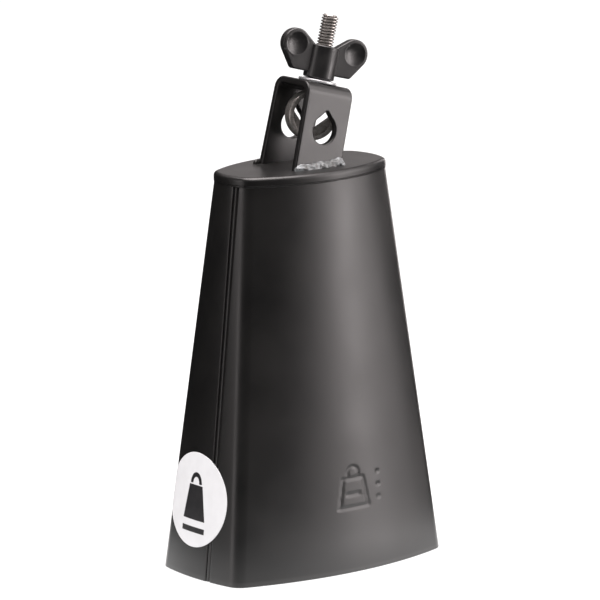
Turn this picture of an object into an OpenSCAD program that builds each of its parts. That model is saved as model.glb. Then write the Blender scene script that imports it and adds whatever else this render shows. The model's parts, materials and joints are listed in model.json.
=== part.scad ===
// Cowbell with a welded rod clamp: two pressed half shells, a pressed cap, and a U bracket that
// clamps a stand rod between its V-topped holes and the ring of an eye bolt.
// The origin is the centre of the open mouth. +Z points to the cap, and the wide faces look along Y.

/* [Bell] */
// Height of the bell, from the mouth to the top of the cap
body_h = 190.5; // [150:0.5:230]
// Length of the mouth, along X
mouth_l = 131; // [110:0.5:150]
// Width of the mouth, along Y
mouth_w = 79.7; // [70:0.1:95]
// Length of the bell just under the cap, along X
top_l = 89.3; // [80:0.1:110]
// Width of the bell just under the cap, along Y
top_w = 50.1; // [48:0.1:65]
// Thickness of the sheet steel
sheet_t = 1.5; // [1:0.1:2]
// How far a wide face bulges out at the mouth
mouth_bulge = 9; // [4:0.1:12]
// How far a wide face bulges out under the cap
top_bulge = 8.7; // [4:0.1:9.5]
// How far the weld seam lies from the middle at the mouth, towards the front
seam_off_mouth = 9.8; // [0:0.1:12]
// How far the weld seam lies from the middle under the cap, towards the front
seam_off_top = 7.1; // [0:0.1:10]
// Width of the weld seam
seam_w = 2.6; // [1:0.1:3.5]

/* [Cap] */
// Height of the cap's skirt
skirt_h = 4.2; // [3:0.1:6]
// Radius of the cap's rounded rim
rim_r = 2; // [1.6:0.1:2.6]
// How far the skirt stands out from the shells
skirt_proud = 0.3; // [0.2:0.05:0.8]

/* [Bracket] */
// Lean of the bracket from upright, towards +X
lean = 14.9; // [0:0.1:20]
// Width of the bracket's plate, along X
plate_w = 27.3; // [24:0.1:32]
// Thickness of the bracket's plate
plate_t = 3.2; // [2.5:0.1:4]
// Distance from the bolt's axis to the front leg's outer face, at its bend
front_depth = 12; // [11:0.1:16]
// Distance from the bolt's axis to the rear leg's outer face, at its bend
rear_depth = 14.2; // [11:0.1:16]
// Height of the bracket above the cap, on its own axis
bracket_h = 39.2; // [38:0.1:44]
// Outer radius of the two bends
bend_r = 5.5; // [4:0.1:7]
// How far the front leg splays outwards
front_splay = 2.6; // [0:0.1:4]
// How far the rear leg splays outwards
rear_splay = 0.2; // [0:0.1:4]
// Radius of the round part of the rod holes
rod_r = 6.7; // [5:0.05:7.5]
// Height of the rod holes' centre on the bracket's axis
rod_z = 17.8; // [16:0.1:20]
// How far the rod holes lie from the plate's middle, along X
rod_off = -0.2; // [-2:0.1:2]
// How far the bolt lies from the plate's middle, along X
bolt_off = 0.25; // [-2:0.05:2]

/* [Eye bolt] */
// Outer radius of the ring
ring_r = 11.7; // [10:0.1:12.2]
// Radial thickness of the ring
ring_t = 2.3; // [1.5:0.1:3]
// Width of the ring, along the rod
ring_w = 8.8; // [6:0.1:10]
// Height of the ring's centre on the bracket's axis
ring_z = 23.5; // [18:0.1:24.2]
// Depth of the V seat below the ring's centre
seat_drop = 8.6; // [7:0.1:9]
// Width of the V seat, along the rod
seat_w = 4.8; // [3:0.1:8]
// Turn of the ring about the bolt's axis
ring_turn = -23; // [-25:1:25]
// Radius of the thread over its crests
thread_r = 3.97; // [3.5:0.01:4.2]
// Pitch of the thread
pitch = 1.411; // [1:0.001:1.6]
// Length of thread that stands out of the wing nut
thread_out = 14.8; // [10:0.1:20]

/* [Wing nut and washer] */
// Radius of the washer
washer_r = 9.15; // [8.6:0.05:10]
// Thickness of the washer
washer_t = 1.8; // [1:0.1:2.5]
// Radius of the wing nut's hub
hub_r = 7.4; // [6.8:0.1:8]
// Height of the hub
hub_h = 15.8; // [12:0.1:17]
// Distance from the axis to the middle of an ear
ear_x = 15.9; // [14:0.1:18]
// Height of the middle of an ear above the foot of the hub
ear_z = 14.4; // [11:0.1:15.5]
// Radius of an ear
ear_r = 7.1; // [6:0.1:8]
// Thickness of an ear
ear_t = 4.4; // [3:0.1:6]
// Radius of the thumb dish in an ear
dish_r = 5.6; // [4.5:0.1:5.8]
// Turn of the wings from the wide face
wing_turn = -10; // [-180:1:180]

/* [Label] */
// Radius of the round label on the narrow side
label_r = 22.3; // [15:0.1:23]
// Height of the label's centre
label_z = 36.8; // [30:0.1:60]
// How far the label lies from the middle of the narrow side, towards the back
label_y = 3.6; // [-5:0.1:5]

/* [Hidden] */
$fn = 96;

shell_h = body_h - skirt_h;
mouth_side_bulge = 2.2;
top_side_bulge = 1.2;
mouth_corner_r = 8.5;
top_corner_r = 9.9;
arc_n = 20;
corner_n = 6;
bend_n = 12;
label_t = 0.2;
film_gap = 0.03;
cap_weld_h = 0.9;
cap_weld_foot = 0.08;
weld_leg = 4;
rear_weld_overrun = 3;
foot_x = 0.33;
leg_below = 12;
flank_share = 0.97;
running = 0.06;
hole_clear = 0.45;
cut_over = 2;
washer_z = bracket_h;
hub_z = washer_z + washer_t;
bolt_top = hub_z + hub_h + thread_out;
thread_depth_share = 0.613;
thread_depth = thread_depth_share * pitch;
crest_share = 0.2;
root_share = 0.6;
neck_h = 1.5;
neck_under = 0.1;
thread_bottom = ring_z + ring_r + neck_h;
washer_edge = 0.5;
hub_edge = 0.7;
ear_corner_r = 1.6;
ear_corner_in = 1;
ear_foot = 2.4;
dish_sag = 1.1;
far = 400;

function lerp(a, b, t) = a + (b - a) * t;
function arc_radius(half_chord, bulge) = (half_chord * half_chord + bulge * bulge) / (2 * bulge);
function arc(centre, r, from, to, n) =
    [for (i = [0 : n - 1]) centre + r * [cos(lerp(from, to, i / n)), sin(lerp(from, to, i / n))]];

// Outline of the bell at one height: four bulged sides between four round corners, grown by "grow".
function outline(l, w, wide_bulge, side_bulge, corner, grow) =
    let (a = l / 2 - corner - side_bulge,
         b = w / 2 - corner - wide_bulge,
         wide_r = arc_radius(a, wide_bulge),
         side_r = arc_radius(b, side_bulge),
         wide_half = asin(a / wide_r),
         side_half = asin(b / side_r),
         wide_c = b + wide_bulge - wide_r,
         side_c = a + side_bulge - side_r,
         r = corner + grow)
    concat(arc([side_c, 0], side_r + r, -side_half, side_half, arc_n),
           arc([a, b], r, side_half, 90 - wide_half, corner_n),
           arc([0, wide_c], wide_r + r, 90 - wide_half, 90 + wide_half, 2 * arc_n),
           arc([-a, b], r, 90 + wide_half, 180 - side_half, corner_n),
           arc([-side_c, 0], side_r + r, 180 - side_half, 180 + side_half, arc_n),
           arc([-a, -b], r, 180 + side_half, 270 - wide_half, corner_n),
           arc([0, -wide_c], wide_r + r, 270 - wide_half, 270 + wide_half, 2 * arc_n),
           arc([a, -b], r, 270 + wide_half, 360 - side_half, corner_n));

function mouth_outline(grow) =
    outline(mouth_l, mouth_w, mouth_bulge, mouth_side_bulge, mouth_corner_r, grow);
function top_outline(grow) = outline(top_l, top_w, top_bulge, top_side_bulge, top_corner_r, grow);

// The bell's outline at height z, as points in space. The sides are straight from mouth to cap.
function ring_at(z, grow) =
    let (low = mouth_outline(grow), high = top_outline(grow))
    [for (i = [0 : len(low) - 1]) let (p = lerp(low[i], high[i], z / shell_h)) [p[0], p[1], z]];
function flat_ring(z, grow) = [for (p = top_outline(grow)) [p[0], p[1], z]];

// A closed solid through a stack of rings that have the same number of points.
module loft(rings) {
    n = len(rings[0]);
    last = len(rings) - 1;
    points = [for (ring = rings) for (p = ring) p];
    bottom = [[for (i = [0 : n - 1]) i]];
    top = [[for (i = [n - 1 : -1 : 0]) last * n + i]];
    low_sides = [for (k = [0 : last - 1]) for (i = [0 : n - 1])
        [k * n + i, (k + 1) * n + i, k * n + (i + 1) % n]];
    high_sides = [for (k = [0 : last - 1]) for (i = [0 : n - 1])
        [k * n + (i + 1) % n, (k + 1) * n + i, (k + 1) * n + (i + 1) % n]];
    polyhedron(points = points, faces = concat(bottom, top, low_sides, high_sides));
}

// The whole wall of the bell, from the mouth to the foot of the cap.
module wall() {
    difference() {
        loft([ring_at(0, 0), ring_at(shell_h, 0)]);
        loft([ring_at(-cut_over, -sheet_t), ring_at(shell_h + cut_over, -sheet_t)]);
    }
}

// Everything on one side of the seam plane (side = -1 is the front), "gap" away from it.
module beside_seam(side, gap) {
    slope = atan2(seam_off_mouth - seam_off_top, shell_h);
    translate([0, -seam_off_mouth, 0])
        rotate([-slope, 0, 0])
            translate([-far / 2, side < 0 ? -far - gap : gap, -far / 2])
                cube(far);
}

module shell(side) {
    intersection() {
        wall();
        beside_seam(side, seam_w / 2);
    }
}

module shell_front() { color("#26262a") shell(-1); }

module shell_rear() { color("#26262a") shell(1); }

// The weld bead that joins the two shells along one narrow side.
module seam_weld(side) {
    intersection() {
        difference() {
            wall();
            beside_seam(-1, seam_w / 2);
            beside_seam(1, seam_w / 2);
        }
        translate([side > 0 ? 0 : -far, -far / 2, -far / 2]) cube(far);
    }
}

module seam_weld_left() { color("#3a3a3e") seam_weld(-1); }

module seam_weld_right() { color("#3a3a3e") seam_weld(1); }

module top_cap() {
    color("#3a3a3e")
        difference() {
            loft(concat([flat_ring(shell_h, skirt_proud)],
                        [for (a = [0 : 15 : 90])
                            flat_ring(body_h - rim_r + rim_r * sin(a),
                                      skirt_proud - rim_r * (1 - cos(a)))]));
            loft([flat_ring(shell_h - cut_over, -sheet_t), flat_ring(body_h - sheet_t, -sheet_t)]);
        }
}

// The thin bead that closes the step under the skirt.
module cap_weld() {
    color("#3a3a3e")
        difference() {
            loft([ring_at(shell_h - cap_weld_h, cap_weld_foot), flat_ring(shell_h, skirt_proud)]);
            loft([ring_at(0, film_gap), ring_at(shell_h + cut_over, film_gap)]);
        }
}

// Places things in the bracket's own frame: its foot on the cap, leaning towards +X.
module on_bracket() { translate([foot_x, 0, body_h]) rotate([0, lean, 0]) children(); }

// Places things on the bolt's axis, which runs beside the plate's middle.
module on_bolt() { on_bracket() translate([bolt_off, 0, 0]) children(); }

// One half of the bent plate's outside in Y and Z, "inset" inwards: a leg's foot and its bend.
function half_bend(depth, splay, inset) =
    let (r = bend_r - inset,
         centre = [depth - bend_r, bracket_h - bend_r],
         leg = bracket_h + leg_below,
         foot = centre + r * [cos(splay), sin(splay)] + leg * [sin(splay), -cos(splay)])
    concat([foot], arc(centre, r, splay, 90, bend_n), [centre + [0, r]]);

// The whole outside: up the rear leg, over both bends and down the front leg.
function bend_path(inset) =
    let (rear = half_bend(rear_depth, rear_splay, inset),
         front = half_bend(front_depth, front_splay, inset))
    concat(rear, [for (i = [len(front) - 1 : -1 : 0]) [-front[i][0], front[i][1]]]);

// A hole for the stand rod through both legs: round below, with a right-angled V on top. The V's
// flanks lie a little inside the round part's tangents, so they cut it cleanly.
module rod_hole() {
    flank = flank_share * rod_r;
    translate([rod_off, 0, rod_z]) rotate([90, 0, 0]) {
        cylinder(r = rod_r, h = far, center = true);
        rotate([0, 0, 45]) translate([0, 0, -far / 2]) cube([flank, flank, far]);
    }
}

module bracket() {
    outside = bend_path(0);
    inside = bend_path(plate_t);
    color("#2b2b2e")
        difference() {
            on_bracket() difference() {
                rotate([90, 0, 90]) linear_extrude(plate_w, center = true)
                    polygon(concat(outside, [for (i = [len(inside) - 1 : -1 : 0]) inside[i]]));
                rod_hole();
                translate([bolt_off, 0, 0]) cylinder(r = thread_r + hole_clear, h = far);
            }
            translate([-far / 2, -far / 2, body_h - far]) cube(far);
        }
}

// Distance from the middle to a leg's outer face, at the cap.
function foot_y(side) =
    let (depth = side < 0 ? front_depth : rear_depth, splay = side < 0 ? front_splay : rear_splay)
    depth - bend_r + bend_r * cos(splay) + (bracket_h - bend_r + bend_r * sin(splay)) * tan(splay);

// A fillet of weld along the outside of a leg's foot, on the cap. It runs "overrun" past the leg
// on the -X side. side = -1 is the front.
module bracket_weld(side, overrun) {
    half_l = plate_w / 2 / cos(lean);
    difference() {
        translate([foot_x - half_l - overrun, side * foot_y(side), body_h]) rotate([0, 90, 0])
            cylinder(r = weld_leg, h = 2 * half_l + overrun);
        translate([-far / 2, -far / 2, body_h - far]) cube(far);
        on_bracket() rotate([90, 0, 90]) linear_extrude(far, center = true)
            polygon(bend_path(0));
    }
}

module bracket_weld_front() { color("#b9b9bd") bracket_weld(-1, 0); }

module bracket_weld_rear() { color("#3a3a3e") bracket_weld(1, rear_weld_overrun); }

// Half outline of the thread: V grooves between flats at the crests.
function thread_outline(r, depth, from, to) =
    let (turns = floor((to - from) / pitch))
    concat([[0, from]],
           [for (i = [0 : turns - 1]) each
               [[r, from + i * pitch], [r, from + (i + crest_share) * pitch],
                [r - depth, from + (i + root_share) * pitch]]],
           [[r, from + turns * pitch], [r - depth, to], [0, to]]);

// The eye: a ring whose lower half holds a narrower V seat for the rod, with its axis along Y.
module eye() {
    rotate([90, 0, 0]) {
        difference() {
            cylinder(r = ring_r, h = ring_w, center = true);
            cylinder(r = ring_r - ring_t, h = far, center = true);
        }
        difference() {
            cylinder(r = ring_r - ring_t / 2, h = seat_w, center = true);
            translate([0, -seat_drop, -far / 2]) rotate([0, 0, 45]) cube([far, far, far]);
        }
    }
}

// The eye is turned a little from the rod's direction, as it hangs when no rod is clamped.
module eye_bolt() {
    color("#9a9591") on_bolt() {
        translate([0, 0, ring_z]) rotate([0, 0, ring_turn]) eye();
        translate([0, 0, ring_z + ring_r - ring_t / 2])
            cylinder(r = thread_r - neck_under, h = neck_h + ring_t / 2);
        rotate_extrude() polygon(thread_outline(thread_r, thread_depth, thread_bottom, bolt_top));
    }
}

module washer() {
    hole = thread_r + hole_clear;
    color("#d8d8dc") on_bolt() translate([0, 0, washer_z])
        rotate_extrude()
            polygon([[hole, 0], [washer_r - washer_edge, 0], [washer_r, washer_edge],
                     [washer_r, washer_t - washer_edge], [washer_r - washer_edge, washer_t],
                     [hole, washer_t]]);
}

// Outline of one ear: a disc for the thumb, a low corner, and straight edges back to the hub.
module ear_outline() {
    corner = [ear_x - ear_corner_in, ear_foot + ear_corner_r];
    hull() {
        translate([ear_x, ear_z]) circle(r = ear_r, $fn = 64);
        translate(corner) circle(r = ear_corner_r, $fn = 32);
        translate([hub_r / 2, ear_foot]) square([0.1, hub_h - corner[1]]);
    }
}

module ear() {
    dish_sphere = arc_radius(dish_r, dish_sag);
    difference() {
        rotate([90, 0, 0]) linear_extrude(ear_t, center = true) ear_outline();
        for (face = [-1, 1])
            translate([ear_x, face * (ear_t / 2 + dish_sphere - dish_sag), ear_z])
                sphere(r = dish_sphere);
    }
}

module wing_nut() {
    color("#202022") on_bolt() translate([0, 0, hub_z]) rotate([0, 0, wing_turn])
        difference() {
            union() {
                rotate_extrude()
                    polygon([[0, 0], [hub_r - hub_edge, 0], [hub_r, hub_edge],
                             [hub_r, hub_h - hub_edge], [hub_r - hub_edge, hub_h], [0, hub_h]]);
                ear();
                mirror([1, 0, 0]) ear();
            }
            translate([0, 0, -cut_over])
                cylinder(r = thread_r + running, h = hub_h + 2 * cut_over);
        }
}

// The round label follows the narrow side's curve.
module label() {
    color("white")
        intersection() {
            difference() {
                loft([ring_at(0, label_t), ring_at(shell_h, label_t)]);
                loft([ring_at(0, film_gap), ring_at(shell_h, film_gap)]);
            }
            translate([-far, label_y, label_z]) rotate([0, 90, 0]) cylinder(r = label_r, h = far);
        }
}

shell_front();
shell_rear();
seam_weld_left();
seam_weld_right();
top_cap();
cap_weld();
bracket();
bracket_weld_front();
bracket_weld_rear();
eye_bolt();
washer();
wing_nut();
label();
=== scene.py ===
"""Cowbell with a welded rod clamp: the looks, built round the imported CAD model.

Every size below is in millimetres, in the CAD model's frame: the origin is the centre of the open mouth,
+Z points to the cap and the wide faces look along Y. build() turns millimetres into Blender's metres.
"""

import json
import math

import bmesh
import bpy
import numpy as np
from mathutils import Matrix, Vector, noise


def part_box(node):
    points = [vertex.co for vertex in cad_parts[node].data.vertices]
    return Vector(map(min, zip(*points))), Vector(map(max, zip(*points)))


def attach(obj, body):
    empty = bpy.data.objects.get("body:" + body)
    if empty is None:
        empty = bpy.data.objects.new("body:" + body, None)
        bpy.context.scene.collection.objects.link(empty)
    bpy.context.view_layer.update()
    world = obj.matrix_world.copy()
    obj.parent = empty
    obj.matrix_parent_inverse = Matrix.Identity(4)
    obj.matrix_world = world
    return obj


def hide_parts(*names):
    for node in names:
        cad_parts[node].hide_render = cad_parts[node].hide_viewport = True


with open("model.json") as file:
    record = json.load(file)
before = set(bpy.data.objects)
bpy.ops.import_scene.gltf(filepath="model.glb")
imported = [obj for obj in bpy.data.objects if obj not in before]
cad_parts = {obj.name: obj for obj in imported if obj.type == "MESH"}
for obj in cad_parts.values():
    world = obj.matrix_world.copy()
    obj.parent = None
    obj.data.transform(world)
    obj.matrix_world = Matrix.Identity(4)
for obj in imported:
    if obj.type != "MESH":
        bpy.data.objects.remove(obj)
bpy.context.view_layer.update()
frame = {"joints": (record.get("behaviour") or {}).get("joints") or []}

MM = 0.001
QUARTER = math.pi / 2
# Radius of the innermost ring of a turned shape, which one flat face closes.
NEAR_AXIS = 0.001

# ---------------------------------------------------------------------------------------------- sizes

# Body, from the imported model's own boxes.
SHELL_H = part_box("top_cap")[0].z / MM
BODY_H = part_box("top_cap")[1].z / MM
MOUTH_L = 2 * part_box("shell_rear")[1].x / MM
MOUTH_W = 2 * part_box("shell_rear")[1].y / MM
SHEET_T = 1.5
# Length, width, bulge of a wide side, bulge of a narrow side and corner radius of the outline.
MOUTH = (MOUTH_L, MOUTH_W, 9.0, 2.2, 8.5)
TOP = (89.3, 50.1, 8.7, 1.2, 9.9)
SEAM_OFF = (9.8, 7.1)
SEAM_W = 2.6
RIM_R = 2.0
SKIRT_PROUD = 0.3

# Bracket, on its own leaning axis. The bolt's axis, which is the wing nut's, runs beside its middle.
AXIS = Vector(frame["joints"][0]["axis"])
LEAN = math.atan2(AXIS.x, AXIS.z)
BOLT = Vector(frame["joints"][0]["pos_m"]) / MM
BOLT_OFF = 0.25
FOOT = BOLT - Vector((math.cos(LEAN), 0, -math.sin(LEAN))) * BOLT_OFF
PLATE_W = 27.3
PLATE_T = 3.2
BRACKET_H = 39.2
BEND_R = 5.5
# Distance from the axis to a leg's outer face at its bend, and its splay: the front leg, then the rear leg.
LEGS = {-1: (12.0, math.radians(2.6)), 1: (14.2, math.radians(0.2))}
ROD_R = 6.7
ROD_Z = 17.8
ROD_OFF = -0.2
HOLE_R = 4.42

# Eye bolt, washer and wing nut, on the same axis.
RING_R = 11.7
RING_T = 2.3
SEAT_DROP = 8.6
SEAT_W = 4.8
RING_W = 8.8
RING_Z = 23.5
RING_TURN = math.radians(-23)
THREAD_R = 3.97
PITCH = 1.411
THREAD_DEPTH = 0.613 * PITCH
WASHER_R = 9.15
WASHER_T = 1.8
HUB_R = 7.4
HUB_H = 15.8
HUB_Z = BRACKET_H + WASHER_T
THREAD_OUT = 14.8
BOLT_TOP = HUB_Z + HUB_H + THREAD_OUT
EAR_X = 15.9
EAR_Z = 14.4
EAR_R = 7.1
EAR_T = 4.4
DISH_R = 5.3
WING_TURN = math.radians(-10)

# Label on the narrow side.
LABEL_R = 22.3
LABEL_Y = 3.6
LABEL_Z = 36.8

scene = bpy.context.scene


# ------------------------------------------------------------------------------------------- mesh tools

def sharpen(mesh, angle):
    """Smooth shading, with a crease at every edge sharper than angle."""
    bm = bmesh.new()
    bm.from_mesh(mesh)
    for face in bm.faces:
        face.smooth = True
    for edge in bm.edges:
        edge.smooth = len(edge.link_faces) == 2 and edge.calc_face_angle(0) < angle
    bm.to_mesh(mesh)
    bm.free()


def link(name, mesh):
    """A mesh as an object in the scene."""
    obj = bpy.data.objects.new(name, mesh)
    scene.collection.objects.link(obj)
    return obj


def build(name, points, faces):
    """A mesh object from points in millimetres, with its normals outward."""
    mesh = bpy.data.meshes.new(name)
    mesh.from_pydata([tuple(p) for p in np.asarray(points, float) * MM], [], faces)
    bm = bmesh.new()
    bm.from_mesh(mesh)
    bmesh.ops.recalc_face_normals(bm, faces=bm.faces)
    bm.to_mesh(mesh)
    bm.free()
    return link(name, mesh)


def grid(rows, cols, wrap_rows=False, wrap_cols=False, start=0):
    """Quads between the neighbouring points of a grid that is stored row by row."""
    faces = []
    for i in range(rows if wrap_rows else rows - 1):
        for j in range(cols if wrap_cols else cols - 1):
            i2, j2 = (i + 1) % rows, (j + 1) % cols
            faces.append((start + i * cols + j, start + i * cols + j2,
                          start + i2 * cols + j2, start + i2 * cols + j))
    return faces


def end_faces(rows, cols):
    """The first and the last row of a grid, each as one face."""
    return [tuple(range(cols)), tuple(range((rows - 1) * cols, rows * cols))]


def lathe(profile, steps=96, close=True):
    """Points and faces of a profile of (radius, height) pairs turned round Z.

    A closed profile makes a ring.
    """
    turn = np.linspace(0, 2 * math.pi, steps, endpoint=False)
    r, z = np.array(profile, float).T
    points = np.stack([np.outer(r, np.cos(turn)), np.outer(r, np.sin(turn)),
                       np.outer(z, np.ones(steps))], -1).reshape(-1, 3)
    return points, grid(len(profile), steps, wrap_rows=close, wrap_cols=True)


def rod(radius, low, high, steps):
    """Points and faces of a plain solid rod along Z."""
    profile = [(NEAR_AXIS, low), (radius, low), (radius, high), (NEAR_AXIS, high)]
    points, faces = lathe(profile, steps, close=False)
    return points, faces + end_faces(len(profile), steps)


def fillet(cx, cy, r, start, end, steps=5):
    """Points along an arc, both ends included. Angles are in degrees."""
    angles = np.radians(np.linspace(start, end, steps + 1))
    return [(cx + r * math.cos(a), cy + r * math.sin(a)) for a in angles]


def baked(obj):
    """Applies the object's modifiers to its mesh."""
    graph = bpy.context.evaluated_depsgraph_get()
    mesh = bpy.data.meshes.new_from_object(obj.evaluated_get(graph))
    obj.modifiers.clear()
    obj.data = mesh
    return obj


def combine(obj, others, operation):
    """Cuts the other objects from obj, or unites them with it, and removes them."""
    for other in others:
        step = obj.modifiers.new("combine", "BOOLEAN")
        step.object = other
        step.operation = operation
        step.solver = "EXACT"
    baked(obj)
    for other in others:
        bpy.data.objects.remove(other)
    return obj


def bevelled(obj, width, segments, angle):
    """Rounds every edge that is sharper than angle."""
    step = obj.modifiers.new("round", "BEVEL")
    step.width = width * MM
    step.segments = segments
    step.limit_method = "ANGLE"
    step.angle_limit = angle
    step.use_clamp_overlap = True
    return baked(obj)


def merge_flat(obj):
    """Joins the neighbouring faces that lie in one plane, so that a flat face shades flat."""
    bm = bmesh.new()
    bm.from_mesh(obj.data)
    bmesh.ops.dissolve_limit(bm, angle_limit=math.radians(0.2), verts=bm.verts, edges=bm.edges)
    bm.to_mesh(obj.data)
    bm.free()


def sliced(obj, step):
    """Cuts the faces into a grid across X and Z, so that edge wear stays beside the edges."""
    places = np.array([vertex.co for vertex in obj.data.vertices])
    low, high = places.min(0), places.max(0)
    bm = bmesh.new()
    bm.from_mesh(obj.data)
    for axis in (0, 2):
        normal = [float(i == axis) for i in range(3)]
        for at in np.arange(low[axis] + step * MM, high[axis], step * MM):
            everything = bm.verts[:] + bm.edges[:] + bm.faces[:]
            bmesh.ops.bisect_plane(bm, geom=everything, plane_co=[at * n for n in normal], plane_no=normal,
                                   dist=1e-6)
    bm.to_mesh(obj.data)
    bm.free()


def leaning(obj, foot, turn=0.0):
    """Moves a mesh from an upright frame on the cap to the leaning one at foot."""
    turned = Matrix.Rotation(LEAN, 4, "Y") @ Matrix.Rotation(turn, 4, "Z")
    obj.data.transform(Matrix.Translation(foot * MM) @ turned)
    return obj


def wobble(points, size, seed):
    """Smooth noise in -1 to 1 at each point, with features of about size."""
    shift = Vector((seed * 17.3, seed * 5.1, seed * 11.7))
    return np.array([noise.noise(Vector(p) / size + shift) for p in points])


def finish_piece(obj, body, material, nodes, angle=35):
    """Shades a piece, gives it its material, ties it to its CAD body and hides the CAD nodes that it
    replaces.
    """
    sharpen(obj.data, math.radians(angle))
    step = obj.modifiers.new("flat_faces_stay_flat", "WEIGHTED_NORMAL")
    step.keep_sharp = True
    step.weight = 100
    baked(obj)
    obj.data.materials.clear()
    obj.data.materials.append(material)
    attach(obj, body)
    if nodes:
        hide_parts(*nodes)
    return obj


# -------------------------------------------------------------------------------------------- materials

class Nodes:
    """A material's node tree, with short calls for the nodes used here."""

    def __init__(self, name):
        """Starts a material that holds a Principled shader and its output."""
        self.material = bpy.data.materials.new(name)
        self.material.use_nodes = True
        self.tree = self.material.node_tree
        self.tree.nodes.clear()
        self.shader = self.add("ShaderNodeBsdfPrincipled")
        out = self.add("ShaderNodeOutputMaterial")
        self.tree.links.new(self.shader.outputs["BSDF"], out.inputs["Surface"])
        self.place = self.add("ShaderNodeTexCoord").outputs["Object"]

    def add(self, kind, **values):
        """Adds a node, with its own settings."""
        node = self.tree.nodes.new(kind)
        for key, value in values.items():
            setattr(node, key, value)
        return node

    def join(self, source, target):
        """Links one socket to another."""
        self.tree.links.new(source, target)

    def noise(self, size, detail=2.0, roughness=0.5, stretch=None):
        """Noise from 0 to 1 with features of about size millimetres."""
        node = self.add("ShaderNodeTexNoise")
        node.inputs["Scale"].default_value = 1 / (size * MM)
        node.inputs["Detail"].default_value = detail
        node.inputs["Roughness"].default_value = roughness
        place = self.place
        if stretch:
            mapping = self.add("ShaderNodeMapping")
            mapping.inputs["Scale"].default_value = stretch
            self.join(place, mapping.inputs["Vector"])
            place = mapping.outputs["Vector"]
        self.join(place, node.inputs["Vector"])
        return node.outputs["Fac"]

    def ramp(self, value, low, high, to_low=0.0, to_high=1.0):
        """Maps low..high of a value to to_low..to_high, clamped."""
        node = self.add("ShaderNodeMapRange")
        for key, number in (("From Min", low), ("From Max", high), ("To Min", to_low), ("To Max", to_high)):
            node.inputs[key].default_value = number
        self.join(value, node.inputs["Value"])
        return node.outputs["Result"]

    def math(self, operation, a, b):
        """Applies an operation to two numbers or sockets."""
        node = self.add("ShaderNodeMath", operation=operation)
        for socket, value in zip(node.inputs, (a, b)):
            if isinstance(value, (int, float)):
                socket.default_value = value
            else:
                self.join(value, socket)
        return node.outputs["Value"]

    def mix(self, factor, a, b):
        """Mixes two colours, given as tuples or sockets."""
        node = self.add("ShaderNodeMix", data_type="RGBA")
        self.join(factor, node.inputs["Factor"])
        for socket, value in ((node.inputs[6], a), (node.inputs[7], b)):
            if isinstance(value, tuple):
                socket.default_value = (*value, 1)
            else:
                self.join(value, socket)
        return node.outputs[2]

    def bump(self, height, depth, strength=1.0, after=None):
        """A bump whose height runs over depth millimetres."""
        node = self.add("ShaderNodeBump")
        node.inputs["Distance"].default_value = depth * MM
        node.inputs["Strength"].default_value = strength
        self.join(height, node.inputs["Height"])
        if after:
            self.join(after, node.inputs["Normal"])
        return node.outputs["Normal"]

    def edges(self, low, high):
        """0 on flat parts and 1 on worn convex edges."""
        return self.ramp(self.add("ShaderNodeNewGeometry").outputs["Pointiness"], low, high)

    def set(self, **values):
        """Sets the shader's sockets: numbers and colours as they are, sockets by a link."""
        names = {"base": "Base Color", "rough": "Roughness", "metal": "Metallic", "normal": "Normal",
                 "specular": "Specular IOR Level", "ior": "IOR", "glow": "Emission Color",
                 "glow_strength": "Emission Strength"}
        for key, value in values.items():
            socket = self.shader.inputs[names[key]]
            if isinstance(value, bpy.types.NodeSocket):
                self.join(value, socket)
            elif isinstance(value, tuple):
                socket.default_value = (*value, 1)
            else:
                socket.default_value = value
        return self.material


def black_paint():
    """Satin black powder coat: orange peel, slow changes of gloss, pale specks and paler edges."""
    n = Nodes("satin_black_powder_coat")
    cloudy = n.noise(28, 3)
    peel = n.noise(1.3, 2)
    grain = n.noise(0.35, 1)
    specks = n.ramp(n.noise(0.9, 4, 0.7), 0.66, 0.78)
    tone = n.mix(n.ramp(cloudy, 0.35, 0.65), (0.0026, 0.0025, 0.0025), (0.0042, 0.0039, 0.0037))
    tone = n.mix(n.math("MULTIPLY", specks, 0.35), tone, (0.015, 0.0145, 0.014))
    tone = n.mix(n.math("MULTIPLY", n.edges(0.58, 0.68), 0.5), tone, (0.022, 0.0215, 0.021))
    gloss = n.ramp(cloudy, 0.3, 0.7, 0.34, 0.41)
    gloss = n.math("ADD", gloss, n.ramp(grain, 0.3, 0.7, -0.02, 0.03))
    normal = n.bump(peel, 0.012, 0.22)
    normal = n.bump(grain, 0.004, 0.2, normal)
    return n.set(base=tone, rough=gloss, normal=normal, specular=0.5, ior=1.5)


def black_casting():
    """Satin black coat over a die casting: coarser skin and brighter worn edges."""
    n = Nodes("satin_black_casting")
    cloudy = n.noise(7, 3)
    skin = n.noise(0.7, 3, 0.6)
    tone = n.mix(n.ramp(cloudy, 0.35, 0.65), (0.0050, 0.0048, 0.0051), (0.0085, 0.0081, 0.0080))
    tone = n.mix(n.math("MULTIPLY", n.edges(0.53, 0.62), 0.6), tone, (0.06, 0.058, 0.057))
    gloss = n.ramp(cloudy, 0.3, 0.7, 0.30, 0.40)
    return n.set(base=tone, rough=gloss, normal=n.bump(skin, 0.03, 0.4), specular=0.5)


def weld_steel():
    """Bare weld bead: silvery grey lumps, darker low spots and uneven gloss."""
    n = Nodes("bare_weld_steel")
    lumps = n.noise(1.6, 4, 0.6)
    fine = n.noise(0.4, 3)
    tint = n.mix(n.ramp(n.noise(5, 2), 0.4, 0.62), (0.175, 0.185, 0.19), (0.12, 0.125, 0.125))
    tint = n.mix(n.ramp(lumps, 0.36, 0.48, 1, 0), tint, (0.07, 0.066, 0.063))
    gloss = n.ramp(fine, 0.3, 0.7, 0.32, 0.50)
    normal = n.bump(lumps, 0.22, 0.6)
    normal = n.bump(fine, 0.06, 0.5, normal)
    return n.set(base=tint, rough=gloss, metal=0.6, normal=normal)


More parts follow.
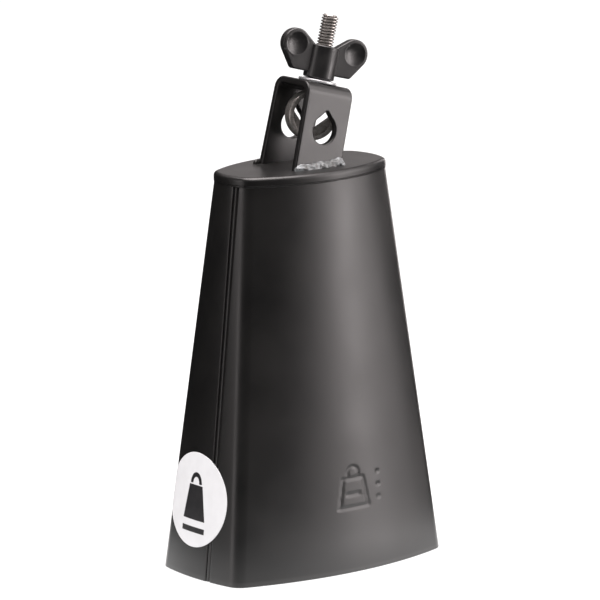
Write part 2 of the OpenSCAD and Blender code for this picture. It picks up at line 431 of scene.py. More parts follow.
def nickel_steel():
    """Dull nickel plate over a forging, with painted shade darkening the low places."""
    n = Nodes("dull_nickel_plate")
    patches = n.noise(2.2, 4, 0.6)
    fine = n.noise(0.25, 3)
    tone = n.mix(n.ramp(patches, 0.35, 0.65), (0.40, 0.375, 0.36), (0.235, 0.22, 0.205))
    # Painted shade in the creases and thread grooves. The range runs downwards, so that it picks the hollows
    # in place of the edges.
    painted_hollow_shade = n.math("MULTIPLY", n.edges(0.49, 0.42), 0.85)
    tone = n.mix(painted_hollow_shade, tone, (0.035, 0.031, 0.029))
    gloss = n.ramp(fine, 0.3, 0.7, 0.24, 0.38)
    return n.set(base=tone, rough=gloss, metal=0.8, normal=n.bump(fine, 0.02, 0.5))


def chrome_plate():
    """Bright plate with faint turning marks and small dull spots."""
    n = Nodes("bright_chrome_plate")
    marks = n.noise(0.5, 3, 0.5, stretch=(1, 1, 6))
    spots = n.ramp(n.noise(1.5, 3), 0.6, 0.75)
    tone = n.mix(spots, (0.44, 0.44, 0.45), (0.30, 0.295, 0.29))
    gloss = n.ramp(marks, 0.3, 0.7, 0.10, 0.20)
    return n.set(base=tone, rough=gloss, metal=0.55, normal=n.bump(marks, 0.02, 0.4))


def label_film():
    """White vinyl film with a faint mottle and pebble."""
    n = Nodes("white_label_film")
    mottle = n.noise(6, 3)
    pebble = n.noise(0.5, 2)
    tone = n.mix(n.ramp(mottle, 0.35, 0.65), (0.585, 0.585, 0.595), (0.56, 0.56, 0.57))
    gloss = n.ramp(pebble, 0.3, 0.7, 0.30, 0.38)
    return n.set(base=tone, rough=gloss, normal=n.bump(pebble, 0.01, 0.4))


def label_ink():
    """Black printing ink on the film."""
    n = Nodes("black_label_ink")
    mottle = n.noise(3, 3)
    tone = n.mix(n.ramp(mottle, 0.35, 0.65), (0.010, 0.010, 0.011), (0.016, 0.015, 0.016))
    gloss = n.ramp(n.noise(0.5, 2), 0.3, 0.7, 0.30, 0.40)
    return n.set(base=tone, rough=gloss, normal=n.bump(mottle, 0.01, 0.3))


PAINT = black_paint()
CASTING = black_casting()
WELD = weld_steel()
NICKEL = nickel_steel()
CHROME = chrome_plate()
FILM = label_film()
INK = label_ink()


# ------------------------------------------------------------------------------------------- bell walls

def outline(size, u, grow):
    """Points of the bell's outline. u counts its eight arcs, from the right narrow side round by the back."""
    length, width, wide_bulge, side_bulge, corner = size
    a = length / 2 - corner - side_bulge
    b = width / 2 - corner - wide_bulge
    wide_r = (a * a + wide_bulge * wide_bulge) / (2 * wide_bulge)
    side_r = (b * b + side_bulge * side_bulge) / (2 * side_bulge)
    wide_half = math.asin(a / wide_r)
    side_half = math.asin(b / side_r)
    wide_c = b + wide_bulge - wide_r
    side_c = a + side_bulge - side_r
    # Centre, radius, and start and end angle of each arc.
    arcs = np.array([
        (side_c, 0, side_r, -side_half, side_half),
        (a, b, 0, side_half, QUARTER - wide_half),
        (0, wide_c, wide_r, QUARTER - wide_half, QUARTER + wide_half),
        (-a, b, 0, QUARTER + wide_half, 2 * QUARTER - side_half),
        (-side_c, 0, side_r, 2 * QUARTER - side_half, 2 * QUARTER + side_half),
        (-a, -b, 0, 2 * QUARTER + side_half, 3 * QUARTER - wide_half),
        (0, -wide_c, wide_r, 3 * QUARTER - wide_half, 3 * QUARTER + wide_half),
        (a, -b, 0, 3 * QUARTER + wide_half, 4 * QUARTER - side_half),
    ])
    u = np.asarray(u, float)
    whole = np.floor(u)
    cx, cy, r, start, end = np.moveaxis(arcs[whole.astype(int) % 8], -1, 0)
    angle = start + (end - start) * (u - whole)
    r = r + corner + grow
    return np.stack([cx + r * np.cos(angle), cy + r * np.sin(angle)], -1)


def wall_points(u, z, grow):
    """Points of the bell's wall, which is straight from the mouth to the cap."""
    u, z, grow = np.broadcast_arrays(u, z, grow)
    share = (z / SHELL_H)[..., None]
    xy = outline(MOUTH, u, grow) * (1 - share) + outline(TOP, u, grow) * share
    return np.concatenate([xy, z[..., None]], -1)


def wall_u(z, y, arc):
    """Where the wall's outer face has this y on a narrow side.

    arc is 0 on the right side and 4 on the left.
    """
    table = np.linspace(arc, arc + 1, 300)
    ys = wall_points(table, z, 0.0)[:, 1]
    return float(np.interp(y, ys, table) if ys[0] < ys[-1] else np.interp(-y, -ys, table))


def seam_y(z):
    """The y of the seam's middle at height z, the same on both narrow sides."""
    return -(SEAM_OFF[0] + (SEAM_OFF[1] - SEAM_OFF[0]) * z / SHELL_H)


# Rounded edge beside a seam, with its mesh columns' distances from the seam, and the lip at the mouth.
EDGE_STEPS = np.array([0, 0.05, 0.12, 0.24, 0.42, 0.75])
EDGE_R = 0.75
LIP_R = 0.55
# Centre and depth of the mark stamped on the front face.
MARK_X = 2.0
MARK_Z = 40.6
MARK_DEPTH = 0.34


def edge_drop(s):
    """How far a shell's rounded edge lies below its face, at distance s from the seam."""
    s = np.clip(s / EDGE_R, 0, 1)
    return EDGE_R * (1 - np.sqrt(np.clip(1 - (1 - s) ** 2, 0, 1)))


def mark_depth(x, z):
    """Depth of the stamped mark on the front face: a plain bell in outline, and a row of dots beside it."""
    x, z = x - MARK_X, z - MARK_Z
    # Distance outside a trapezoid with a round loop on top, less than 0 inside it.
    side = (np.abs(x) - 8.6 + 0.20 * (z + 9.0)) / 1.02
    bell = np.maximum(side, np.maximum(z - 4.2, -9.6 - z))
    loop = np.hypot(x, z - 6.4) - 3.3
    line = np.minimum(np.abs(bell) - 0.75, np.maximum(np.abs(loop) - 0.6, 4.2 - z))
    bar = np.maximum(np.abs(x) - 4.2, np.abs(z + 3.4) - 0.9)
    dots = np.hypot(x - 15.5, (z + 0.9 + 3) % 6 - 3) - 0.9
    dots = np.where(np.abs(z + 0.9) < 9, dots, 9.0)
    nearest = np.minimum(np.minimum(line, bar), dots)
    return MARK_DEPTH * (0.5 - 0.5 * np.sin(np.clip(nearest / 0.45, -1, 1) * QUARTER))


def shell(name, seam_side, first_arc, last_arc, middle, rows):
    """Half shell between the two seams: outer face, rounded lip, inner face, and rounded seam edges."""
    lip = (fillet(-LIP_R, LIP_R, LIP_R, 0, -90, 4)
           + fillet(-SHEET_T + LIP_R, LIP_R, LIP_R, -90, -180, 4))
    grow = np.concatenate([np.zeros(len(rows)), [p[0] for p in lip], np.full(len(rows), -SHEET_T)])
    height = np.concatenate([rows[::-1], [p[1] for p in lip], rows])
    sides = np.linspace(0, 1, 12)[1:-1]
    points = []
    for g, z in zip(grow, height):
        y = seam_y(z) + seam_side * SEAM_W / 2
        first = wall_u(z, y, first_arc % 8) + (first_arc - first_arc % 8)
        last = wall_u(z, y, last_arc % 8) + (last_arc - last_arc % 8)
        reach = np.linalg.norm(wall_points(first_arc + 1, z, 0.0) - wall_points(first_arc, z, 0.0))
        step = EDGE_STEPS / reach
        to_middle = first + step[-1] + (middle[0] - first - step[-1]) * sides
        from_middle = last - step[-1] + (middle[-1] - last + step[-1]) * sides
        u = np.concatenate([first + step, to_middle, middle, from_middle[::-1], (last - step)[::-1]])
        drop = np.zeros(len(u))
        drop[:len(step)] = edge_drop(EDGE_STEPS)
        drop[-len(step):] = edge_drop(EDGE_STEPS)[::-1]
        outer = 1.0 if g > -SHEET_T / 2 else 0.0
        row = wall_points(u, z, g - outer * drop)
        if outer and seam_side < 0:
            deep = mark_depth(row[:, 0], row[:, 2]) * (row[:, 1] < 0)
            row = wall_points(u, z, g - drop - deep)
        points.append(row)
    loop, cols = len(points), len(points[0])
    faces = grid(loop, cols, wrap_rows=True)
    for i in range(loop // 2 - 1):
        for j in (0, cols - 1):
            faces.append((i * cols + j, (i + 1) * cols + j,
                          (loop - 2 - i) * cols + j, (loop - 1 - i) * cols + j))
    return build(name, np.concatenate(points), faces)


def wall_rows():
    """Heights of the mesh rows, finer where the mark is stamped."""
    return np.unique(np.concatenate([np.linspace(LIP_R, 16, 9), np.linspace(16, 52, 60),
                                     np.linspace(52, SHELL_H, 46)]))


def shells():
    """Both half shells, with finer columns at the corners and on the wide faces."""
    rows = wall_rows()
    corner = np.linspace(0, 1, 17)
    front = np.concatenate([5 + corner, 6 + np.linspace(0, 1, 121)[1:], 7 + corner[1:]])
    rear = np.concatenate([1 + corner, 2 + np.linspace(0, 1, 61)[1:], 3 + corner[1:]])
    piece = shell("front_half_shell", -1, 4, 8, front, rows)
    finish_piece(piece, "bell", PAINT, ["shell_front"])
    piece = shell("rear_half_shell", 1, 0, 4, rear, rows)
    finish_piece(piece, "bell", PAINT, ["shell_rear"])


def seam_bead(name, arc, node):
    """The weld between the shells: a low rounded ridge between two grooves."""
    across = np.linspace(-1, 1, 9)
    rows = np.linspace(0.3, SHELL_H, 140)
    points = []
    for z in rows:
        y = seam_y(z) + across * SEAM_W / 2
        u = np.array([wall_u(z, value, arc) for value in y])
        crown = 0.62 + 0.06 * noise.noise(Vector((z / 9, arc, 0)))
        top = -EDGE_R + crown * np.cos(across * QUARTER) ** 0.8
        outer = wall_points(u, z, top)
        inner = wall_points(u[::-1], z, -SHEET_T + 0.15)
        points.append(np.concatenate([outer, inner]))
    cols = len(points[0])
    faces = grid(len(rows), cols, wrap_cols=True)
    faces += end_faces(len(rows), cols)
    piece = build(name, np.concatenate(points), faces)
    finish_piece(piece, "bell", PAINT, [node], angle=50)


# ------------------------------------------------------------------------------------------------- cap

def lid_rings(u, profile):
    """Rings of the top outline up a profile, and then smaller and smaller ones across the flat top."""
    rings = [np.column_stack([outline(TOP, u, grow), np.full(len(u), z)]) for grow, z in profile]
    return rings + [rings[-1] * (share, share, 1) for share in np.linspace(1, 0.04, 14)[1:]]


def cap():
    """Pressed lid: short skirt with a rounded lower edge, rounded rim and a flat top."""
    u = np.concatenate([k + np.linspace(0, 1, n, endpoint=False)
                        for k, n in enumerate((24, 16, 60, 16, 24, 16, 60, 16))])
    skirt = fillet(SKIRT_PROUD - 0.5, SHELL_H + 0.5, 0.5, -90, 0, 4)
    skirt += fillet(SKIRT_PROUD - RIM_R, BODY_H - RIM_R, RIM_R, 0, 90, 10)
    under = [(-SHEET_T, SHELL_H), (-SHEET_T, BODY_H - SHEET_T)]
    rings = lid_rings(u, skirt)[::-1] + lid_rings(u, under)
    faces = grid(len(rings), len(u), wrap_cols=True) + end_faces(len(rings), len(u))
    piece = build("pressed_cap", np.concatenate(rings), faces)
    finish_piece(piece, "bell", PAINT, ["top_cap"])


def cap_weld():
    """Thin uneven bead in the step under the skirt."""
    u = np.linspace(0, 8, 720, endpoint=False)
    points = []
    base = wall_points(u, SHELL_H, 0.0)
    swell = 0.5 + 0.5 * wobble(base, 7, 3) + 0.35 * wobble(base, 2.2, 4)
    size = np.clip(0.55 + 0.35 * swell, 0.3, 1.0)
    section = fillet(0, 0, 1.0, -90, 0, 5)
    for out, down in section:
        grow = (SKIRT_PROUD - 0.02) * out * np.clip(size + 0.25, 0, 1)
        z = SHELL_H + 0.1 + size * down * 0.95
        points.append(wall_points(u, z, grow))
    points.append(wall_points(u, SHELL_H + 0.1, -0.4))
    points.append(wall_points(u, SHELL_H + 0.1 - size * 0.95, -0.4))
    cols = len(u)
    faces = grid(len(points), cols, wrap_rows=True, wrap_cols=True)
    piece = build("cap_weld_bead", np.concatenate(points), faces)
    finish_piece(piece, "bell", PAINT, ["cap_weld"], angle=60)


# --------------------------------------------------------------------------------------------- bracket

def half_bend(side, inset):
    """One leg's outside and its bend in Y and Z, inset inwards."""
    depth, splay = LEGS[side]
    r = BEND_R - inset
    leg = BRACKET_H + 12
    bend = fillet(depth - BEND_R, BRACKET_H - BEND_R, r, math.degrees(splay), 90, 14)
    foot = (bend[0][0] + leg * math.sin(splay), bend[0][1] - leg * math.cos(splay))
    return [(side * y, z) for y, z in [foot] + bend]


def bend_path(inset):
    """Outside of the bent plate in Y and Z, inset inwards, from the rear foot to the front."""
    return half_bend(1, inset) + half_bend(-1, inset)[::-1]


def prism(name, section, low, high, axis):
    """A solid with a flat section, from low to high along axis 0 (X) or 1 (Y)."""
    ends = []
    for at in (low, high):
        ends += [(at, a, b) if axis == 0 else (a, at, b) for a, b in section]
    n = len(section)
    sides = [(i, (i + 1) % n, n + (i + 1) % n, n + i) for i in range(n)]
    return build(name, ends, sides + [tuple(range(n)), tuple(range(2 * n - 1, n - 1, -1))])


def rod_hole_section():
    """Outline of a rod hole: round below, with a right-angled V on top."""
    flank = 0.97 * ROD_R
    start = math.degrees(math.acos(flank / ROD_R))
    arc = fillet(0, 0, ROD_R, 135 - start, 405 + start, 60)
    nose = fillet(0, (flank - 0.9) * math.sqrt(2), 0.9, 45, 135, 6)
    return [(x + ROD_OFF, z + ROD_Z) for x, z in nose + arc]


def bracket():
    """Bent plate with both rod holes and the bolt's hole, its edges rounded by tumbling."""
    plate = prism("clamp_bracket", bend_path(0) + bend_path(PLATE_T)[::-1], -PLATE_W / 2, PLATE_W / 2, 0)
    holes = prism("holes", rod_hole_section(), -60, 60, 1)
    points, faces = rod(HOLE_R, 20, 60, 48)
    points[:, 0] += BOLT_OFF
    bolt_hole = build("bolt_hole", points, faces)
    combine(plate, [holes, bolt_hole], "DIFFERENCE")
    merge_flat(plate)
    bevelled(plate, 0.8, 4, math.radians(40))
    sliced(plate, 2.2)
    leaning(plate, FOOT)
    below = prism("below", [(-60, BODY_H - 60), (60, BODY_H - 60), (60, BODY_H - 0.9), (-60, BODY_H - 0.9)],
                  -60, 60, 0)
    combine(plate, [below], "DIFFERENCE")
    finish_piece(plate, "bell", PAINT, ["bracket"], angle=30)


def foot_y(side):
    """Distance from the middle to a leg's outer face, at the cap."""
    depth, splay = LEGS[side]
    return (depth - BEND_R + BEND_R * math.cos(splay)
            + (BRACKET_H - BEND_R + BEND_R * math.sin(splay)) * math.tan(splay))


def foot_weld(name, side, overrun, leg, rough, material, node, seed):
    """A bead along the outside of a leg's foot, with long overlapping ripples. It grows towards +X."""
    half = PLATE_W / 2 / math.cos(LEAN)
    start, end = FOOT.x - half - overrun, FOOT.x + half + 0.9
    points, rings = [], 220
    for x in np.linspace(start, end, rings):
        s = (x - start) / (end - start)
        ends = math.sqrt(max(0.0004, 1 - abs(2 * s - 1) ** 14))
        grow = 0.74 + 0.3 * s ** 1.5
        ring = []
        for a in np.radians(np.linspace(-6, 100, 30)):
            # Ripples run along the bead and slant down to the right, as each pass froze over the last.
            along = Vector((x / 4.2 + 0.5 * a, a * 1.5, seed))
            fine = Vector((x / 1.3 + a, a * 2.6, seed + 5))
            steps = abs(noise.noise(Vector((x / 2.6 - 0.9 * a, 0.4 * a, seed + 9))))
            soft = 1 + rough * (0.26 * noise.noise(along) + 0.07 * noise.noise(fine) - 0.22 * steps)
            r = leg * ends * grow * soft
            out = foot_y(side) - 0.4 + 0.9 * r * math.cos(a)
            ring.append((x, side * out, BODY_H - 0.3 + 1.05 * r * math.sin(a)))
        ring.append((x, side * (foot_y(side) - 1.4), BODY_H - 0.3 + 0.4 * leg * ends))
        ring.append((x, side * (foot_y(side) - 1.4), BODY_H - 0.4))
        points.append(ring)
    cols = len(points[0])
    faces = grid(rings, cols, wrap_cols=True) + end_faces(rings, cols)
    piece = build(name, np.array(points).reshape(-1, 3), faces)
    finish_piece(piece, "bell", material, [node], angle=60)


# ------------------------------------------------------------------------------- eye bolt, washer, nut

def threaded_rod(low, high):
    """A solid rod with a true helical thread and a chamfered end."""
    steps, rows = 60, 10
    shape = [0, 0, 0.03, 0.35, 0.72, 1.0, 0.97, 0.62, 0.28, 0.02]
    turns = int((high - low) / PITCH) + 3
    points = []
    for i in range(turns * rows):
        z = low - PITCH + PITCH * (i / rows + np.arange(steps) / steps)
        r = THREAD_R - THREAD_DEPTH * shape[i % rows]
        r = np.minimum(r, THREAD_R - np.clip(z - (high - 0.9), 0, 2))
        turn = 2 * math.pi * np.arange(steps) / steps
        points.append(np.column_stack([r * np.cos(turn), r * np.sin(turn), z]))
    faces = grid(turns * rows, steps)
    for i in range(turns * rows - 1 - rows):
        faces.append((i * steps + steps - 1, (i + rows) * steps,
                      (i + rows + 1) * steps, (i + 1) * steps + steps - 1))
    mesh = bpy.data.meshes.new("rod")
    mesh.from_pydata([tuple(p) for p in np.concatenate(points) * MM], [], faces)
    bm = bmesh.new()
    bm.from_mesh(mesh)
    for at, way in ((low, -1), (high, 1)):
        everything = bm.verts[:] + bm.edges[:] + bm.faces[:]
        bmesh.ops.bisect_plane(bm, geom=everything, plane_co=(0, 0, at * MM), plane_no=(0, 0, way),
                               clear_outer=True, dist=1e-7)
        rim = [e for e in bm.edges if e.is_boundary and all(abs(v.co.z - at * MM) < 1e-6 for v in e.verts)]
        bmesh.ops.contextual_create(bm, geom=rim)
    bmesh.ops.recalc_face_normals(bm, faces=bm.faces)
    bm.to_mesh(mesh)
    bm.free()
    return link("rod", mesh)


def eye_seat():
    """The narrower V seat in the ring's lower half, with fine teeth along both flanks."""
    reach = RING_R - RING_T / 2
    # Where a 45 degree flank meets the circle that lies inside the ring's wall.
    top = (SEAT_DROP + math.sqrt(2 * reach ** 2 - SEAT_DROP ** 2)) / 2
    turn = math.degrees(math.atan2(top - SEAT_DROP, top))
    arc = fillet(0, 0, reach, 180 - turn, 360 + turn, 40)
    across = np.linspace(top, -top, 61)[1:-1]
    teeth = 0.10 * (np.arange(len(across)) % 2)
    flanks = list(zip(across, np.maximum(np.abs(across), 0.5) - SEAT_DROP - teeth))
    return prism("seat", [(x, z + RING_Z) for x, z in arc + flanks], -SEAT_W / 2, SEAT_W / 2, 1)


def eye_bolt():
    """Ring with a serrated bore and a V seat, a short neck, and a threaded shank."""
    teeth, per_tooth = 62, 6
    steps = teeth * per_tooth
    edge = 0.7
    half = RING_W / 2
    inner = RING_R - RING_T
    profile = (fillet(RING_R - edge, half - edge, edge, 0, 90, 4)
               + fillet(inner + 0.4, half - 0.4, 0.4, 90, 180, 3)
               + [(inner, half * k) for k in (0.5, 0, -0.5)]
               + fillet(inner + 0.4, -half + 0.4, 0.4, 180, 270, 3)
               + fillet(RING_R - edge, -half + edge, edge, 270, 360, 4))
    turn = np.linspace(0, 2 * math.pi, steps, endpoint=False)
    tooth = 0.16 * np.abs(((np.arange(steps) / per_tooth) % 1) * 2 - 1)
    points = []
    for r, y in profile:
        radius = r + tooth * (r < inner + 0.2)
        points.append(np.column_stack([radius * np.cos(turn), np.full(steps, y),
                                       RING_Z + radius * np.sin(turn)]))
    ring = build("eye_ring_bolt", np.concatenate(points), grid(len(profile), steps, True, True))
    combine(ring, [eye_seat()], "UNION")
    ring.data.transform(Matrix.Rotation(RING_TURN, 4, "Z"))
    neck_z = RING_Z + RING_R
    neck_steps = 60
    neck_profile = [(NEAR_AXIS, neck_z - 1), (5.0, neck_z - 1), (4.4, neck_z - 0.4),
                    (THREAD_R - 0.1, neck_z + 0.3), (THREAD_R - 0.1, neck_z + 1.5), (NEAR_AXIS, neck_z + 1.5)]
    points, faces = lathe(neck_profile, neck_steps, close=False)
    neck = build("neck", points, faces + end_faces(len(neck_profile), neck_steps))
    combine(ring, [neck, threaded_rod(neck_z + 1.3, BOLT_TOP)], "UNION")
    leaning(ring, BOLT)
    finish_piece(ring, "bolt", NICKEL, ["eye_bolt"], angle=32)


def washer():
    """Domed washer with rounded edges."""
    steps = 128
    thick = 1.25
    lift = WASHER_T - thick
    section = (fillet(WASHER_R - 0.4, thick - 0.4, 0.4, 0, 90, 4)
               + [(WASHER_R - 2.2, thick + 0.25 * lift), (HOLE_R + 1.5, thick + 0.85 * lift)]
               + fillet(HOLE_R + 0.3, thick + lift - 0.3, 0.3, 90, 180, 3)
               + fillet(HOLE_R + 0.3, lift + 0.3, 0.3, 180, 270, 3)
               + [(HOLE_R + 1.5, 0.85 * lift), (WASHER_R - 2.2, 0.25 * lift)]
               + fillet(WASHER_R - 0.4, 0.4, 0.4, 270, 360, 4))
    points, faces = lathe(section, steps)
    points[:, 2] += BRACKET_H
    piece = build("domed_washer", points, faces)
    leaning(piece, BOLT)
    finish_piece(piece, "washer", CHROME, ["washer"])


def ear_reach(angles):
    """Distance from the dish's centre to the ear's outline.

    The outline joins a disc, a low corner and the hub by straight edges.
    """
    disc = [(EAR_R * math.cos(a), EAR_R * math.sin(a)) for a in np.linspace(0, 2 * math.pi, 90)]
    low = [(-1 + 1.6 * math.cos(a), 4.0 - EAR_Z + 1.6 * math.sin(a)) for a in np.linspace(0, 2 * math.pi, 40)]
    root = [(HUB_R / 2 - EAR_X, 2.4 - EAR_Z), (HUB_R / 2 - EAR_X, HUB_H - 1.6 - EAR_Z)]
    cloud = np.array(disc + low + root)
    reach = []
    for a in angles:
        # The hull's reach along a direction: the least distance at which some supporting line is met.
        turns = a + np.linspace(-1.5, 1.5, 241)
        normals = np.column_stack([np.cos(turns), np.sin(turns)])
        support = (cloud @ normals.T).max(0)
        reach.append((support / np.cos(turns - a)).min())
    return np.array(reach)


def ear(name, side):
    """One ear: a plate with a rounded edge and a thumb dish with a raised lip on each face."""
    steps = 120
    angles = np.linspace(0, 2 * math.pi, steps, endpoint=False)
    reach = ear_reach(angles)
    half = EAR_T / 2
    sag = 1.15
    edge = 0.8
    lip = 0.6
    rings = []
    for share in (0.02, 0.2, 0.4, 0.6, 0.75, 0.87, 0.95):
        rings.append((np.full(steps, DISH_R * share), half - sag * (1 - share ** 2.2)))
    rings.append((np.full(steps, DISH_R), half - 0.02))
    rings.append((np.full(steps, DISH_R + 0.35), half + 0.06))
    rings.append((np.full(steps, DISH_R + lip), half))
    for share in (0.35, 0.7):
        rings.append((DISH_R + lip + (reach - edge - DISH_R - lip) * share, half))
    for a in np.radians(np.linspace(0, 90, 6)):
        rings.append((reach - edge + edge * math.sin(a), half - edge + edge * math.cos(a)))
    full = rings + [(r, -y) for r, y in rings[::-1]]
    points = [np.column_stack([side * (EAR_X + r * np.cos(angles)), np.full(steps, y),
                               EAR_Z + r * np.sin(angles)]) for r, y in full]
    faces = grid(len(full), steps, wrap_cols=True)
    faces += end_faces(len(full), steps)
    return build(name, np.concatenate(points), faces)


def wing_nut():
    """Cast nut: hub with two dished ears, softened as a casting is."""
    bore = THREAD_R + 0.06
    section = (fillet(HUB_R - 0.8, 0.8, 0.8, -90, 0, 4) + fillet(HUB_R - 0.8, HUB_H - 0.8, 0.8, 0, 90, 4)
               + [(bore + 0.7, HUB_H), (bore, HUB_H - 0.7), (bore, 0.7), (bore + 0.7, 0)])
    points, faces = lathe(section, 96)
    hub = build("cast_wing_nut", points, faces)
    combine(hub, [ear("ear_right", 1), ear("ear_left", -1)], "UNION")
    core = build("core", *rod(bore, -1, HUB_H + 1, 96))
    combine(hub, [core], "DIFFERENCE")
    hub.data.transform(Matrix.Translation((0, 0, HUB_Z * MM)))
    leaning(hub, BOLT, WING_TURN)
    finish_piece(hub, "nut", CASTING, ["wing_nut"], angle=32)


# ----------------------------------------------------------------------------------------------- label

def side_u(z, y):
    """Where the wall has this y on the left narrow side or its two corners."""
    table = np.linspace(3, 6, 400)
    ys = wall_points(table, z, 0.0)[:, 1]
    return np.interp(-y, -ys, table)


def on_label(y, z, lift):
    """Points at a height above the wall, over the low ridge that the seam raises in the film."""
    ridge = 0.10 * np.exp(-((y - seam_y(z)) / 0.9) ** 2)
    u = np.array([side_u(b, a) for a, b in zip(y, z)])
    return wall_points(u, z, lift + ridge)


def label():
    """Round film with a soft cut edge."""
    steps, edge, thick = 160, 0.1, 0.16
    angles = np.linspace(0, 2 * math.pi, steps, endpoint=False)
    shares = np.linspace(0.01, 1, 40)
    layers = [(share * LABEL_R, 0.0) for share in shares] + [(LABEL_R, thick - edge)]
    layers += [(share * (LABEL_R - edge), thick) for share in shares[::-1]]
    points = [on_label(LABEL_Y + r * np.cos(angles), LABEL_Z + r * np.sin(angles), lift)
              for r, lift in layers]
    faces = grid(len(layers), steps, wrap_cols=True)
    faces += end_faces(len(layers), steps)
    piece = build("round_label", np.concatenate(points), faces)
    finish_piece(piece, "bell", FILM, ["label"], angle=50)


def printed(name, left, right):
    """A print on the label between two curves, each a list of (y, z) from the label's centre."""
    across = np.linspace(0, 1, 14)[:, None]
    left, right = np.array(left), np.array(right)
    flat = (left[:, None] * (1 - across) + right[:, None] * across).reshape(-1, 2)
    y, z = LABEL_Y + flat[:, 0], LABEL_Z + flat[:, 1]
    # The print stands just above the film's top and reaches down into it.
    top, bottom = 0.185, 0.10
    points = np.concatenate([on_label(y, z, top), on_label(y, z, bottom)])
    rows, cols = len(left), len(across)
    count = rows * cols
    faces = grid(rows, cols) + grid(rows, cols, start=count)
    rim = (list(range(cols)) + [i * cols + cols - 1 for i in range(1, rows)]
           + [(rows - 1) * cols + j for j in range(cols - 2, -1, -1)]
           + [i * cols for i in range(rows - 2, 0, -1)])
    faces += [(a, b, b + count, a + count) for a, b in zip(rim, rim[1:] + rim[:1])]
    piece = build(name, points, faces)
    finish_piece(piece, "bell", INK, [], angle=50)


def label_prints():
    """A plain black bell with a hanging loop, and a plain bar below it."""
    levels = np.linspace(-9.5, 7.0, 24)
    half = 8.4 - 0.20 * (levels + 9.5)
    printed("label_bell_print", list(zip(-half, levels)), list(zip(half, levels)))
    turn = np.linspace(0, math.pi, 28)
    printed("label_loop_print", list(zip(4.4 * np.cos(turn), 7.6 + 5.4 * np.sin(turn))),
            list(zip(2.4 * np.cos(turn), 7.6 + 3.2 * np.sin(turn))))
    levels = np.linspace(-15.4, -12.8, 4)
    printed("label_bar_print", [(-8.6, z) for z in levels], [(8.6, z) for z in levels])


shells()
seam_bead("left_seam_bead", 4, "seam_weld_left")
seam_bead("right_seam_bead", 0, "seam_weld_right")
cap()
cap_weld()
bracket()
foot_weld("front_foot_weld", -1, 0.0, 3.7, 1.0, WELD, "bracket_weld_front", 1.7)
foot_weld("rear_foot_weld", 1, 3.0, 3.4, 0.5, PAINT, "bracket_weld_rear", 4.2)
eye_bolt()
washer()
wing_nut()
label()
label_prints()


# ---------------------------------------------------------------------------------- camera, floor, light

def camera():
    """The photograph's view, found from the bell's own outline."""
    azimuth, elevation, roll = math.radians(38.157), math.radians(12.502), math.radians(0.396)
    distance = 2669.7
    aim = Vector((0, 0, BODY_H / 2))
    back = Vector((-math.sin(azimuth) * math.cos(elevation), -math.cos(azimuth) * math.cos(elevation),
                   math.sin(elevation)))
    right = Vector((math.cos(azimuth), -math.sin(azimuth), 0))
    up = back.cross(right)
    # The camera looks this far to the left of the bell's middle, and above it.
    left, above = math.radians(0.0106), math.radians(0.6254)
    look = (-back - right * math.tan(left) + up * math.tan(above)).normalized()
    data = bpy.data.cameras.new("camera")
    data.lens = 337.61
    data.sensor_width = 36
    data.clip_start, data.clip_end = 0.05, 60
    obj = bpy.data.objects.new("camera", data)
    scene.collection.objects.link(obj)
    obj.location = (aim + back * distance) * MM
    tilted = (right * math.cos(roll) - up * math.sin(roll))
    x = (tilted - look * tilted.dot(look)).normalized()
    y = (-look).cross(x)
    obj.matrix_world = Matrix.Translation(obj.location) @ Matrix((x, y, -look)).transposed().to_4x4()
    scene.camera = obj


def studio():
    """A pale floor that curves up into the walls and the ceiling of a softly glowing studio.

    Glossy rays pass through it, so the black paint mirrors the softboxes and the near floor, against a
    dark room.
    """
    reach, cove, height, steps = 6.5, 2.0, 6.0, 96
    profile = ([(0.001, 0)] + fillet(reach - cove, cove, cove, -90, 0, 12)
               + fillet(reach - cove, height - cove, cove, 0, 90, 12) + [(0.001, height)])
    points, faces = lathe([(r / MM, z / MM) for r, z in profile], steps, close=False)
    obj = build("floor", points, faces)
    n = Nodes("pale_floor")
    obj.data.materials.append(n.set(base=(0.15, 0.15, 0.15), rough=0.9, specular=0.0, glow=(1.0, 1.0, 1.0),
                                    glow_strength=0.86))
    obj.visible_glossy = False


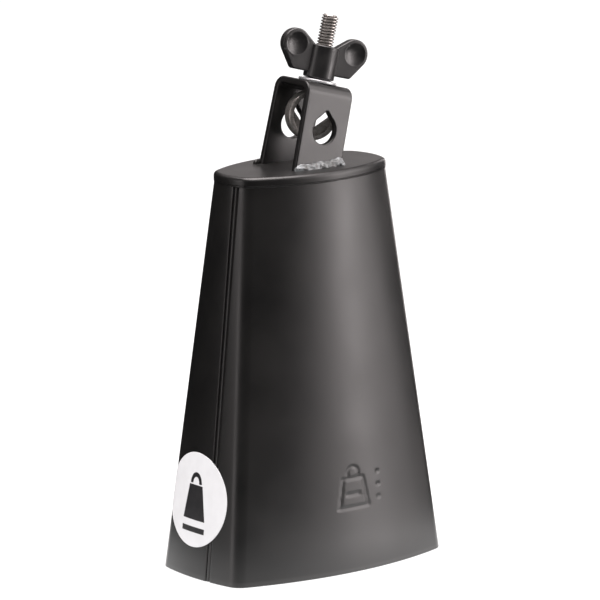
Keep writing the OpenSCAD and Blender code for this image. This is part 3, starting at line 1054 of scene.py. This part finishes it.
def near_floor():
    """A glowing disc at the bell's foot that only glossy rays see: the floor that the paint mirrors."""
    radius, lift = 140, 0.1
    turn = np.radians(range(0, 360, 5))
    disc = build("near_floor", [(radius * math.cos(a), radius * math.sin(a), lift) for a in turn],
                 [tuple(range(len(turn)))])
    n = Nodes("near_floor_sheen")
    disc.data.materials.append(n.set(base=(0.15, 0.15, 0.15), rough=0.9, specular=0.0,
                                     glow=(1.0, 1.0, 1.0), glow_strength=1.8))
    disc.visible_camera = False
    disc.visible_diffuse = False
    disc.visible_shadow = False


def softbox(name, azimuth, elevation, distance, size, power):
    """A soft area light that looks at the bell's middle. Azimuth 0 is in front, and 90 to the right."""
    a, e = math.radians(azimuth), math.radians(elevation)
    back = Vector((math.sin(a) * math.cos(e), -math.cos(a) * math.cos(e), math.sin(e)))
    data = bpy.data.lights.new(name, "AREA")
    data.shape = "RECTANGLE"
    data.size, data.size_y = size
    data.energy = power
    data.color = (1.0, 0.93, 0.925)
    obj = bpy.data.objects.new(name, data)
    obj.visible_camera = False
    scene.collection.objects.link(obj)
    target = Vector((0, 0, BODY_H / 2 * MM))
    obj.location = target + back * distance
    obj.rotation_mode = "QUATERNION"
    obj.rotation_quaternion = back.to_track_quat("Z", "Y")


def light():
    """The softboxes round the bell and above it, and the dark room beyond them."""
    scene.view_settings.view_transform = "Standard"
    world = bpy.data.worlds.new("studio")
    world.use_nodes = True
    world.node_tree.nodes["Background"].inputs["Color"].default_value = (1, 1, 1, 1)
    world.node_tree.nodes["Background"].inputs["Strength"].default_value = 0.02
    scene.world = world
    softbox("key", 44, 8, 1.5, (0.36, 1.0), 14.5)
    softbox("key_left_edge", 27, 8, 1.5, (0.36, 1.0), 3.2)
    softbox("key_right_edge", 63, 8, 1.5, (0.36, 1.0), 4.4)
    softbox("left_fill", -100, 8, 1.5, (0.5, 1.0), 5.0)
    softbox("rear_fill", 140, 8, 1.5, (0.5, 1.0), 1.15)
    softbox("high_fill", 60, 42, 1.5, (0.8, 0.7), 8.0)
    softbox("top", 0, 88, 1.3, (1.2, 1.2), 46.0)
    softbox("rear_key", 114, 10, 1.5, (0.4, 1.0), 5.0)
    softbox("high_rear", 180, 55, 1.9, (1.4, 1.4), 5.0)


camera()
studio()
near_floor()
light()
